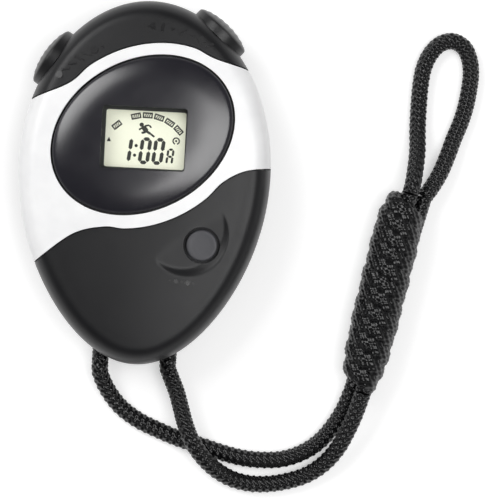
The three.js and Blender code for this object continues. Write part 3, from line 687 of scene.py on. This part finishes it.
# -------------- front case
# The front half of the case, in the same satin black. Its face is recessed for the white band and
# the oval, and dished round the mode button, so that a thumb finds it.
bezel_x, bezel_y, bezel_long, bezel_short, bezel_turn = -0.55, 10.45, 21, 16.25, 31
bezel_seat, bezel_crown, bezel_gap = depth - 1.75, depth + 1.05, 0.45
trim_thickness, trim_ring = 1.3, 2.9     # of the white band: its wall, its width round the oval
display_x, display_y, display_width, display_height = -0.2, 9.9, 18.3, 12.7
mode_x, mode_y, mode_radius = 13.8, -13.35, 3.45
ceiling = bezel_seat - 1.4
face_foot = parting + gap / 2
face_profile = rounded([
    (0, face_foot), (0.15, parting + 3.5), (0.7, depth - 4.1), (1.6, depth - 2.55),
    (3, depth - 1.45), (rim, depth - 1), (16, depth - 0.25), (half_width - 0.6, depth)], 8)


def sunk(profile, amount):
    """The profile moved into the material."""
    made = []
    for i, (inset, height) in enumerate(profile):
        before, after = profile[max(i - 1, 0)], profile[min(i + 1, len(profile) - 1)]
        run = Vector((after[0] - before[0], after[1] - before[1])).normalized()
        made.append((inset + amount * run.y, height - amount * run.x))
    return made


def oval(margin, sides=144, start=0, end=360):
    """The bezel's outline or a part of it, moved outwards by a margin."""
    turn, steps = radians(bezel_turn), sides if end - start == 360 else sides - 1
    made = []
    for i in range(sides):
        angle = radians(start + (end - start) * i / steps)
        u, v = (bezel_long + margin) * cos(angle), (bezel_short + margin) * sin(angle)
        made.append((
            bezel_x + u * cos(turn) - v * sin(turn),
            bezel_y + u * sin(turn) + v * cos(turn)))
    return made


def seam(flare_in, start, end, margin, flare_out):
    """A seam between black and white: it follows the oval, and flares out past both sides."""
    stops = [Vector(p) for p in (*flare_in, *oval(margin, 7, start, end), *flare_out)]
    run = [stops[0], *stops, stops[-1]]
    line, parts = [], 14
    for a, b, c, d in zip(run, run[1:], run[2:], run[3:]):
        for i in range(parts):
            t = i / parts
            line.append(0.5 * (
                2 * b + (c - a) * t + (2 * a - 5 * b + 4 * c - d) * t**2
                + (3 * b - a - 3 * c + d) * t**3))
    line.append(stops[-1])
    past = Vector((28, 0))
    return [line[0] - past, *line, line[-1] + past]


def moved_left(line, amount):
    """The line moved sideways, to the left of the way it runs."""
    made = []
    for i, point in enumerate(line):
        along = (line[min(i + 1, len(line) - 1)] - line[max(i - 1, 0)]).normalized()
        made.append((point.x - amount * along.y, point.y + amount * along.x))
    return made


upper_seam = seam(
    [(-33, 13.5), (-26, 17.3)], 112, 22, trim_ring + bezel_gap - 0.25, [(22.7, 26.2), (29, 25)])
lower_seam = seam(
    [(-31, -24.5), (-23.4, -19), (-15, -12.4)], 225, 296, trim_ring + bezel_gap + 0.15,
    [(22.4, 3.4), (28.2, 4.4), (34, 5)])


above_case = 26


def trim_zone(shift):
    """The stretch of the case between the two seams."""
    upper, lower = moved_left(upper_seam, shift), moved_left(lower_seam, -shift)
    return prism("zone", [*upper, *reversed(lower)], -1, above_case)


dish_x, dish_y, dish_reach, dish_floor = 9.3, -9.5, 9.45, depth + 0.04
dish_fall = 0.135        # how steeply its floor falls towards the lower right, where it is deepest
dish_wall, dish_foot = 0.7, 0.2          # how steep its wall is, and how softly that starts
dish_edge = 0.16         # how softly the face rolls over into it
dish_skin, dish_skin_floor, dish_cuts = 14, depth - 3, 3


def dished(x, y, height):
    """The height of the face once the tilted dish round the mode button is pressed into it."""
    across, along = x - dish_x, y - dish_y
    beyond = hypot(across, along) - dish_reach
    wall = 0.5 * (beyond + hypot(beyond, dish_foot))
    dish = dish_floor + dish_fall * (along - across) + dish_wall * wall
    share = max(0, min(1, 0.5 + 0.5 * (height - dish) / dish_edge))
    return height + (dish - height) * share - dish_edge * share * (1 - share)


# The skin near the dish is cut finer, and its corners are then lowered into the dish.
front_case = egg_body("front_shell", face_profile, 240)
select_only(front_case)
bpy.ops.object.mode_set(mode="EDIT")
bpy.ops.mesh.select_all(action="DESELECT")
skin = bmesh.from_edit_mesh(front_case.data)
for face in skin.faces:
    middle = face.calc_center_median()
    if middle.z > dish_skin_floor and len(face.verts) == 4:
        face.select = hypot(middle.x - dish_x, middle.y - dish_y) < dish_skin
bmesh.update_edit_mesh(front_case.data)
bpy.ops.mesh.subdivide(number_cuts=dish_cuts)
bpy.ops.object.mode_set(mode="OBJECT")
for corner in front_case.data.vertices:
    if corner.co.z > dish_skin_floor:
        corner.co.z = dished(*corner.co)

# Then come the recess for the band, the hollow, and the frame's own bosses and ribs inside.
recess = trim_thickness + gap
carve(front_case, carve(
    trim_zone(gap / 2), egg_body("core", [(recess, 5), *sunk(face_profile, recess)])))
carve(front_case, egg_body("hollow", [
    (2.9, 5), (2.9, ceiling - 2.4), (4.2, ceiling - 1), (14, ceiling), (27, ceiling)], 96))
limit = egg_body("limit", [(0.5, face_foot + 0.02), *[
    (inset, height) for inset, height in sunk(face_profile, recess + 0.1)
    if height > face_foot + 0.1]], 96)
carve(front_case, carve(cad_copy("front_case"), limit, "INTERSECT"), "UNION")
carve(front_case, prism("pocket", oval(bezel_gap), bezel_seat, above_case))


def rounded_block(width, length, corner, grow=0):
    """The outline of a rectangle with round corners about the middle of the display."""
    made = []
    for a, b, first in ((1, 1, 0), (-1, 1, 90), (-1, -1, 180), (1, -1, 270)):
        for i in range(7):
            made.append(on_circle(
                display_x + a * (width / 2 - corner), display_y + b * (length / 2 - corner),
                corner + grow, radians(first + 15 * i)))
    return made


for name, width, length, foot in (
        ("opening", display_width + 1, display_height + 1, 10),
        ("rebate", 22.7, 17.1, bezel_seat - 0.8)):
    carve(front_case, prism(name, rounded_block(width, length, 0.8), foot, above_case))
hole_radius = mode_radius + 0.6
carve(front_case, turned(
    "hole", [(hole_radius, 10), (hole_radius, above_case)], (mode_x, mode_y), 72))
cut_thumb_wells(front_case)
smooth_skin(front_case)


# -------------- raised marks
# Low moulded signs in place of words: on the left discs and bars for a split time, on the right
# a triangle and a square for start and stop, and dots under the mode button.
signs = {
    "triangle": [(-0.75, -0.9), (0.85, 0), (-0.75, 0.9)],
    "square": [(-0.75, -0.75), (0.75, -0.75), (0.75, 0.75), (-0.75, 0.75)],
    "bar": [(-0.2, -0.95), (0.2, -0.95), (0.2, 0.95), (-0.2, 0.95)],
    "slash": [(-0.5, -1.0), (-0.15, -1.0), (0.5, 1.0), (0.15, 1.0)],
    "disc": [on_circle(0, 0, 0.8, pi * k / 8) for k in range(16)],
    "dot": [on_circle(0, 0, 0.32, pi * k / 5) for k in range(10)]}
sign_root, sign_height = -0.3, 0.2
marks = []


def raise_sign(kind, x, y, turn, size=1.0):
    """A low sign that stands square on the face where a straight line down meets it."""
    _, place, normal, _ = front_case.ray_cast(Vector((x, y, above_case)), Vector((0, 0, -1)))
    sign = prism("sign", [(a * size, b * size) for a, b in signs[kind]], sign_root, sign_height)
    sign.data.transform(
        Matrix.Translation(place) @ normal.to_track_quat("Z", "Y").to_matrix().to_4x4()
        @ Matrix.Rotation(turn, 4, "Z"))
    marks.append(sign)


def sign_row(kinds, first, last, first_margin, last_margin):
    """A row of signs along the oval, each standing across it."""
    for i, kind in enumerate(kinds):
        share = i / (len(kinds) - 1)
        angle = first + (last - first) * share
        (x, y), (next_x, next_y) = oval(
            first_margin + (last_margin - first_margin) * share, 2, angle, angle - 4)
        raise_sign(kind, x, y, atan2(next_y - y, next_x - x))


sign_row(("disc", "bar", "bar", "slash", "bar", "disc", "dot"), 112, 87, 5.9, 5.3)
sign_row(("triangle", "bar", "dot", "slash", "dot", "square", "bar"), 62, 30, 6.8, 4.9)
for i, kind in enumerate(("dot", "disc", "dot", "square", "dot")):
    raise_sign(kind, 7.2 + 1.3 * i, -21.5 - 0.1 * i, 0, 0.62)
raised_marks = joined(marks)
raised_marks.name = "raised_marks"
mark_finish = moulded("polished_sign_tops", tone(16, 16, 18), 0.25, 0.000004)
to_metres(raised_marks, mark_finish, "case")
to_metres(front_case, satin_black, "case", "front_case")


# -------------- white band
# A second shot of gloss-white plastic that wraps the waist of the front case and frames the oval.
white_plastic = moulded("white_plastic", tone(241, 241, 242), 0.26, 0.000006)
band = egg_body("white_band", face_profile)
carve(band, egg_body("core", [(trim_thickness, 5), *sunk(face_profile, trim_thickness)]))
carve(band, trim_zone(-gap / 2), "INTERSECT")
carve(band, prism("oval", oval(bezel_gap), 5, above_case))
cut_thumb_wells(band, well_radius + 1.7, -20, 20, 72)
smooth_skin(band)
to_metres(band, white_plastic, "case", "front_trim")


# -------------- oval bezel
# A domed oval in glossy dark grey plastic that clips into the face. The walls of its opening go
# straight down to the window, under a small slope at the top.
bezel_finish = moulded("gloss_gunmetal", tone(27, 26, 33), 0.19, 0.000001, 0.9)
bezel_rim = depth - 0.3
bezel_profile = [(0.4, bezel_seat + gap), (bezel_short, bezel_seat + gap)] + rounded([
    (bezel_short, bezel_rim - 0.6), (bezel_short - 0.12, bezel_rim - 0.15),
    (bezel_short - 0.5, bezel_rim + 0.12), (bezel_short - 1, bezel_rim + 0.3),
    (bezel_short - 4, bezel_crown - 0.45), (bezel_short - 9, bezel_crown - 0.1),
    (0.4, bezel_crown)], 6)
bezel = turned("oval_bezel", bezel_profile, sides=192)
bezel.data.transform(
    Matrix.Translation((bezel_x, bezel_y, 0)) @ Matrix.Rotation(radians(bezel_turn), 4, "Z")
    @ Matrix.Diagonal((bezel_long / bezel_short, 1, 1, 1)))
opening_width, opening_height, opening_corner = 18.8, 13.9, 0.7
opening_right, opening_up = -0.06, -0.28
carve(bezel, lofted("opening", [
    [(x + opening_right, y + opening_up, height) for x, y in rounded_block(
        opening_width, opening_height, opening_corner, grow)]
    for height, grow in ((15, 0), (bezel_crown - 0.25, 0), (bezel_crown + 0.5, 0.75))]))
smooth_skin(bezel, 25)
to_metres(bezel, bezel_finish, "case", "bezel")


# -------------- display window
# A clear acrylic pane set in the face from above, under the oval. Its border is printed black on
# the back, which frames the view of the display; at the top and left it is also painted shadow.
window_finish = Finish("clear_acrylic", {
    "Base Color": tone(225, 230, 220), "Alpha": 0.04, "Specular IOR Level": 0.5})
window_finish.set("Roughness", 0.03 + 0.05 * window_finish.noise(900))
pane_width, pane_height, pane_corner = 22.1, 16.5, 0.7
window = lofted("window_pane", [
    [(x, y, height) for x, y in rounded_block(pane_width, pane_height, pane_corner, grow)]
    for grow, height in ((-0.1, 17.6), (0, 17.7), (0, 18.2), (-0.1, 18.3))])
smooth_skin(window)
to_metres(window, window_finish, "case", "display_window")
ink = moulded("black_ink", tone(5, 5, 7), 0.5, 0.000004, 0.1)
border_floor, border_top = 17.46, 17.52
# The view is set off to the lower right, so the black border is wider at the top and left: there it
# is painted shadow of the opening's edges as well as print.
view_width, view_height, view_corner, view_right, view_up = 17.8, 12.75, 0.5, 0.2, -0.41
border = prism("window_border_and_painted_shadow", rounded_block(21.9, 16.3, pane_corner), border_floor, border_top)
carve(border, prism("view", [
    (x + view_right, y + view_up) for x, y in rounded_block(view_width, view_height, view_corner)],
    17, 18))
to_metres(border, ink, "case")


# -------------- liquid crystal display
# Two panes of glass with polarising film, over a pale reflector. The upper pane is shorter than the
# lower one, whose ledges carry the contacts.
# The glass glows faintly in pale cream: painted light that brightens the display in the shade of
# its deep opening.
crystal_finish = Finish("polarised_glass", {
    "Specular IOR Level": 0.3, "Coat Weight": 0.2, "Emission Strength": 0.24,
    "Emission Color": tone(236, 238, 214)})
cloud = crystal_finish.noise(70)
crystal_finish.set("Base Color", crystal_finish.mix(
    cloud, tone(250, 250, 234), tone(238, 242, 214)))
crystal_finish.set("Roughness", 0.35 + 0.1 * cloud)
glass_top = 16.1
glass = prism("display_glass", rounded_block(24, 17.2, 0.3), 14.5, 15.35)
carve(glass, prism("upper_pane", rounded_block(24, 14.4, 0.3), 15.2, glass_top), "UNION")
smooth_skin(glass)
to_metres(glass, crystal_finish, "case", "lcd_glass")


# -------------- display figures
# What the display shows: the running time in seven segment figures, a row of barred boxes on an
# arc, a pointer, a sounder sign and a runner. Each mark is a thin dark plate on the glass.
figure_top = glass_top + 0.06
left_edge, foot_edge = display_x - 8.9, display_y - 6.45
slant, segment_trim = tan(radians(6)), 0.08
figures = []


def mark(points):
    figures.append(prism("mark", [
        (left_edge + x, foot_edge + y) for x, y in points], glass_top, figure_top))


def bar(start, end, thickness, point=0.5):
    """A segment with pointed ends from one place to another."""
    start, end = Vector(start), Vector(end)
    along = (end - start).normalized()
    side = Vector((-along.y, along.x)) * thickness / 2
    tip = along * thickness * point
    mark([start, start + tip - side, end - tip - side, end, end - tip + side, start + tip + side])


def digit(x, y, width, height, lit, thickness=0.82):
    """A seven segment figure; lit names its segments from the top round to the middle one."""
    def at(across, up):
        return (x + across * width + slant * up * height, y + up * height)

    ends = {
        "a": (at(0, 1), at(1, 1)), "b": (at(1, 1), at(1, 0.5)), "c": (at(1, 0.5), at(1, 0)),
        "d": (at(0, 0), at(1, 0)), "e": (at(0, 0.5), at(0, 0)), "f": (at(0, 1), at(0, 0.5)),
        "g": (at(0, 0.5), at(1, 0.5))}
    for name in lit:
        start, end = (Vector(p) for p in ends[name])
        trim = (end - start).normalized() * segment_trim
        bar(start + trim, end - trim, thickness)


def disc(x, y, radius, sides=20):
    mark([on_circle(x, y, radius, 2 * pi * k / sides) for k in range(sides)])


digit(3.85, 1.0, 1.65, 5.2, "bc")
disc(6.85, 2.5, 0.36)
disc(7.1, 4.65, 0.36)
for x in (8.0, 11.0):
    digit(x, 1.0, 1.7, 5.2, "abcdef")
digit(14.0, 0.95, 1.15, 3.2, "abcefg", 0.5)

# the boxes: long sides, ends and three slanted bars, measured round the arc and out from it
box_lines = [
    line for side in (1, -1) for line in (
        (-1.08, 0.5 * side, 1.08, 0.5 * side, 0.3), (0.95 * side, -0.6, 0.95 * side, 0.6, 0.3))]
box_lines += [(shift - 0.15, -0.35, shift + 0.15, 0.35, 0.2) for shift in (-0.45, 0, 0.45)]
arc_x, arc_y, arc_radius = 9.2, 1.4, 10.1
for degrees in (-41, -14, 0.8, 15.5, 30.3, 45):
    turn = radians(degrees)
    out = Vector((sin(turn), cos(turn)))
    along = Vector((out.y, -out.x))
    middle = Vector((arc_x, arc_y)) + out * arc_radius
    for a, b, c, d, thickness in box_lines:
        bar(middle + along * a + out * b, middle + along * c + out * d, thickness, 0)
mark([(0.5, 5.3), (1.45, 5.3), (0.97, 6.3)])

# the runner: head, body, two arms and two legs
disc(8.1, 9.35, 0.48)
for start, end, thickness in (
        ((8.35, 9.1), (9.4, 7.7), 1.1), ((8.75, 9.1), (9.8, 9.35), 0.4),
        ((9.75, 9.35), (10.3, 8.75), 0.36), ((8.5, 8.8), (7.5, 8.2), 0.4),
        ((9.2, 7.95), (10.2, 7.4), 0.55), ((10.1, 7.45), (11.1, 6.75), 0.44),
        ((9.15, 7.8), (8.1, 7.5), 0.48)):
    bar(start, end, thickness, 0.3)

# the sounder sign: an open ring round a dot
sign_x, sign_y, sign_radius, sign_parts, sign_opening = 15.95, 6.1, 0.72, 10, 7
for i in range(sign_parts):
    if i != sign_opening:
        start, end = (
            on_circle(sign_x, sign_y, sign_radius, 2 * pi * k / sign_parts) for k in (i, i + 1))
        bar(start, end, 0.3, 0)
disc(sign_x, sign_y, 0.25)
display_figures = joined(figures)
display_figures.name = "display_figures"
to_metres(display_figures, ink, "case")


# -------------- thumb buttons
# Two black domed caps with grip ribs across the dome. Each slides on its stem into a well in the
# case, against a coil spring, and closes a leaf contact.
cap_radius, dome_foot = 6.9, 1.55
rib_pitch, rib_height, rib_margin, rib_fade, rib_sink = 1.6, 0.12, 0.3, 1.6, 0.1
coil_radius, coil_turns, coil_wire, coil_foot, coil_height = 3.2, 3.5, 0.25, -2.0, 3.0
cap_finish = moulded("satin_black_caps", tone(18, 18, 20), 0.34, 0.000012, 0.5)
stem_profile = [
    (0.2, -7.4), (1.0, -7.4), (1.3, -7.1), (1.3, -4.95), (0.9, -4.95), (0.9, -4.15), (1.3, -4.15),
    (1.3, 1.4), (5.7, 1.4), (5.7, -0.5), (cap_radius, -0.5), (cap_radius, 0.4)]
dome_profile = rounded([
    (cap_radius, 1.2), (6.82, 1.6), (6.5, 1.95), (6.0, 2.2), (4.5, 2.72), (2.3, 3.15),
    (0.3, 3.3)], 7)


for name, place in thumb_places.items():
    cap = turned(f"{name}_cap", stem_profile + dome_profile, sides=112)
    for corner in cap.data.vertices:
        spread = hypot(corner.co.x, corner.co.y)
        if corner.co.z > dome_foot:
            fade = min(1, max(0, (cap_radius - rib_margin - spread) / rib_fade))
            wave = 0.5 + 0.5 * cos(2 * pi * corner.co.x / rib_pitch)
            corner.co.z += rib_height * fade * wave - rib_sink
    cap.data.transform(place)
    smooth_skin(cap, 40)
    to_metres(cap, cap_finish, f"{name}_button", f"{name}_button")
    coil = [Vector((
        *on_circle(0, 0, coil_radius, 2 * pi * coil_turns * i / 120),
        coil_foot + coil_height * i / 120)) for i in range(121)]
    spring = rope(f"{name}_coil", coil, 10, lambda travelled, turn: (coil_wire, 0))
    spring.data.transform(place)
    to_metres(spring, steel, "case", f"{name}_spring")
    out = (place.to_3x3() @ Vector((0, 0, 1))).normalized()
    anchor = place @ Vector((0, 0, coil_foot - coil_wire)) * 0.001
    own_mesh(spring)


# -------------- mode button
# A small grey plastic cap with a softened rim, over a silicone pad that springs it back.
grey_plastic = moulded("grey_plastic", tone(66, 66, 70), 0.42, 0.00001)
mode = turned("mode_cap", [
    (0.3, 14.8), (4.4, 14.8), (4.4, 15.6), (mode_radius, 15.6), (mode_radius, 18.6),
    *rounded([(mode_radius, 18.75), (mode_radius - 0.06, 18.98), (mode_radius - 0.25, 19.15),
              (mode_radius - 0.6, 19.2), (mode_radius - 1.4, 19.14), (0.3, 19.1)], 5)],
    (mode_x, mode_y), 96)
smooth_skin(mode, 40)
to_metres(mode, grey_plastic, "mode_button", "mode_button")
pad = turned("mode_dome_pad", [
    (0.3, 12.4), (3.4, 12.4), (3.4, 12.8), (3.2, 12.9), (2.1, 14.3), (1.9, 14.65), (0.3, 14.65)],
    (mode_x, mode_y), 48)
smooth_skin(pad)
to_metres(pad, rubber, "case", "mode_pad")
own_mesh(pad)


# -------------- table and light
# A plain pale table that keeps the watch's shadow, a white room, and two large soft lamps.
bpy.ops.object.select_all(action="DESELECT")
bpy.ops.mesh.primitive_plane_add(size=4, location=(0, 0, -0.0001))
table = bpy.context.object
table.name = "table"
table_finish = Finish("pale_table", {
    "Base Color": (0.8, 0.8, 0.8, 1), "Roughness": 0.8, "Specular IOR Level": 0.1,
    "Emission Color": (1, 1, 1, 1)})
table_glow = 0.42


def rays(finish):
    """Which rays come straight from the eye, off gloss and through glass."""
    return [finish.node("LightPath", {}, {}, kind) for kind in
            ("Is Camera Ray", "Is Glossy Ray", "Is Transmission Ray")]


eye, gloss, through = rays(table_finish)
table_finish.set("Emission Strength", (eye + gloss + through) * table_glow)
table.data.materials.append(table_finish.material)

# White to the eye and in glass, pale as a light, and dim overhead where gloss mirrors the ceiling.
room = Finish("white_room", {"Color": (1, 1, 1, 1)}, bpy.data.worlds, "Background")
bpy.context.scene.world = room.material
eye, gloss, through = rays(room)
direction = room.node("TexCoord", {}, {}, "Generated")
height = room.node("SeparateXYZ", {}, {"Vector": direction}, "Z")
mirrored = room.node("MapRange", {}, {
    "Value": height, "From Min": 0.1, "From Max": 0.75, "To Min": 0.55, "To Max": 0.04})
plain_light = 0.36
room.set("Strength", (
    (eye + through) + gloss * mirrored + (1 - (eye + through + gloss)) * plain_light))

lamp_target = Vector((0.005, -0.005, 0.015))
for name, place, size, watts in (
        ("soft_lamp_left", (-0.35, 0.26, 0.55), 0.34, 1.95),
        ("soft_lamp_right", (0.2, -0.04, 0.6), 0.32, 1.5)):
    bpy.ops.object.light_add(type="AREA", location=place)
    lamp = bpy.context.object
    lamp.name = name
    lamp.data.size = size
    lamp.data.energy = watts
    lamp.visible_camera = False
    lamp.rotation_euler = (lamp_target - Vector(place)).to_track_quat("-Z", "Y").to_euler()
